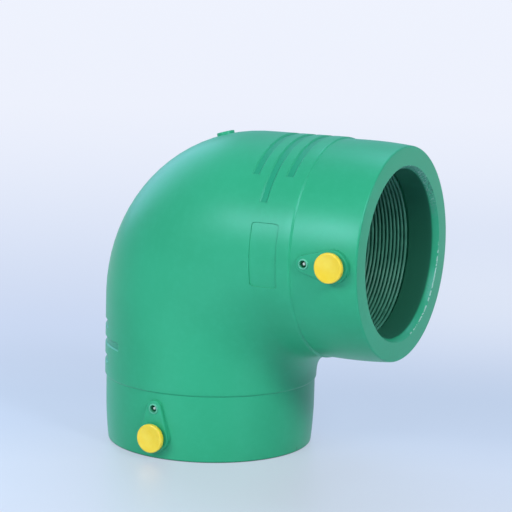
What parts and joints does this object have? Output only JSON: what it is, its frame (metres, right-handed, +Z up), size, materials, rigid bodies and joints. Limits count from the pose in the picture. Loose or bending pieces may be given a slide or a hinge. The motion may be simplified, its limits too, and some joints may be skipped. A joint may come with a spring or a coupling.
{
  "type": "electrofusion pipe elbow",
  "caption": "Green plastic 90 degree electrofusion elbow with equal pipe sockets, a heating coil in each bore, yellow terminal caps and fusion indicators.",
  "frame": {"origin": "centre of the lower mouth, in the plane that the elbow stands on", "axes": "+Z up along the lower socket's axis, +X along the upper socket's axis and out of its mouth, -Y the side of the terminals"},
  "size_m": [0.215, 0.1526, 0.215],
  "materials": {
    "green_body": "satin moulded polypropylene with a fine grain",
    "coated_wire": "resistance wire under a green polypropylene coat",
    "contact_brass": "turned contact pin",
    "yellow_cap": "glossy moulded cap",
    "pale_indicator": "pale moulded pin"
  },
  "bodies": {
    "elbow": {"elbow_body": "green_body", "heating_wire": "coated_wire", "lower_terminal_pin": "contact_brass", "upper_terminal_pin": "contact_brass"},
    "lower_cap": {"lower_terminal_cap": "yellow_cap"},
    "upper_cap": {"upper_terminal_cap": "yellow_cap"},
    "lower_indicator": {"lower_indicator_pin": "pale_indicator"},
    "upper_indicator": {"upper_indicator_pin": "pale_indicator"}
  },
  "joints": [
    {"name": "lower_cap_pull", "type": "slide", "parent": "elbow", "child": "lower_cap", "axis": [0, -1, 0], "range_m": [0, 0.012]},
    {"name": "upper_cap_pull", "type": "slide", "parent": "elbow", "child": "upper_cap", "axis": [0, -1, 0], "range_m": [0, 0.012]},
    {"name": "lower_indicator_rise", "type": "slide", "parent": "elbow", "child": "lower_indicator", "axis": [0, -1, 0], "range_m": [0, 0.003]},
    {"name": "upper_indicator_rise", "type": "slide", "parent": "elbow", "child": "upper_indicator", "axis": [0, -1, 0], "range_m": [0, 0.003]}
  ]
}
